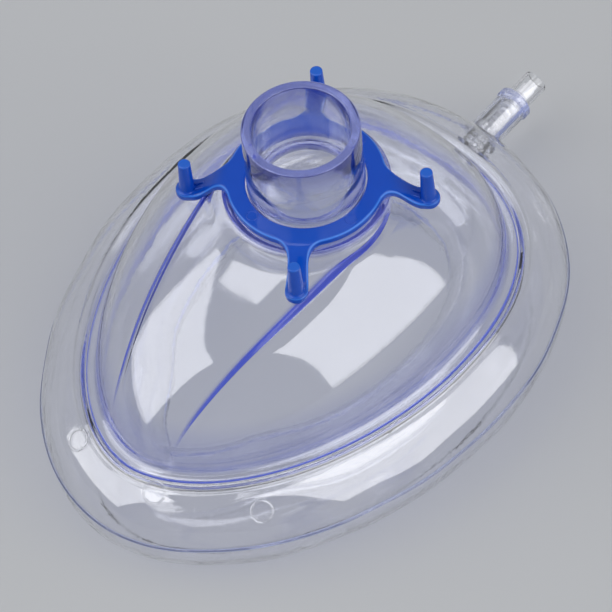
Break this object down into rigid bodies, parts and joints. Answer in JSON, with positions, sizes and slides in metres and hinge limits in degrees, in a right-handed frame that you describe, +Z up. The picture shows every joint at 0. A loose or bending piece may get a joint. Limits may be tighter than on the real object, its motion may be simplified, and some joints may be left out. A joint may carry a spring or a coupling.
{
  "type": "resuscitation face mask",
  "caption": "Clear face mask with an inflated air cushion, a rigid dome, a 22 mm female connector, a blue hook ring and an inflation check valve.",
  "frame": {"origin": "centre of the bounding box, on the plane that the cushion rests on; the connector's axis is 0.7 mm towards the nose, at Y = -0.0007", "axes": "+Z up along the connector, out of its mouth; +Y from the nose end to the chin end, where the inflation valve points; +X to the side"},
  "size_m": [0.1056, 0.1552, 0.0791],
  "materials": {
    "shell_clear": "clear rigid plastic with a faint blue tint, polished",
    "cushion_clear": "clear soft PVC film, glossy",
    "valve_clear": "clear rigid plastic, glossy",
    "ring_blue": "blue polypropylene, satin gloss",
    "plunger_white": "white plastic",
    "seal_grey": "pale silicone",
    "spring_steel": "drawn steel wire"
  },
  "bodies": {
    "mask": {"shell": "shell_clear", "air_cushion": "cushion_clear", "hook_ring": "ring_blue", "valve_housing": "valve_clear", "valve_retainer": "valve_clear", "valve_spring": "spring_steel"},
    "plunger": {"valve_plunger": "plunger_white", "valve_seal": "seal_grey"}
  },
  "joints": [
    {"name": "plunger_press", "type": "slide", "parent": "mask", "child": "plunger", "axis": [0, -1, 0], "range_m": [0, 0.002], "stiffness_N_per_m": 200, "springref_m": -0.002, "deforming": ["valve_spring"]}
  ]
}
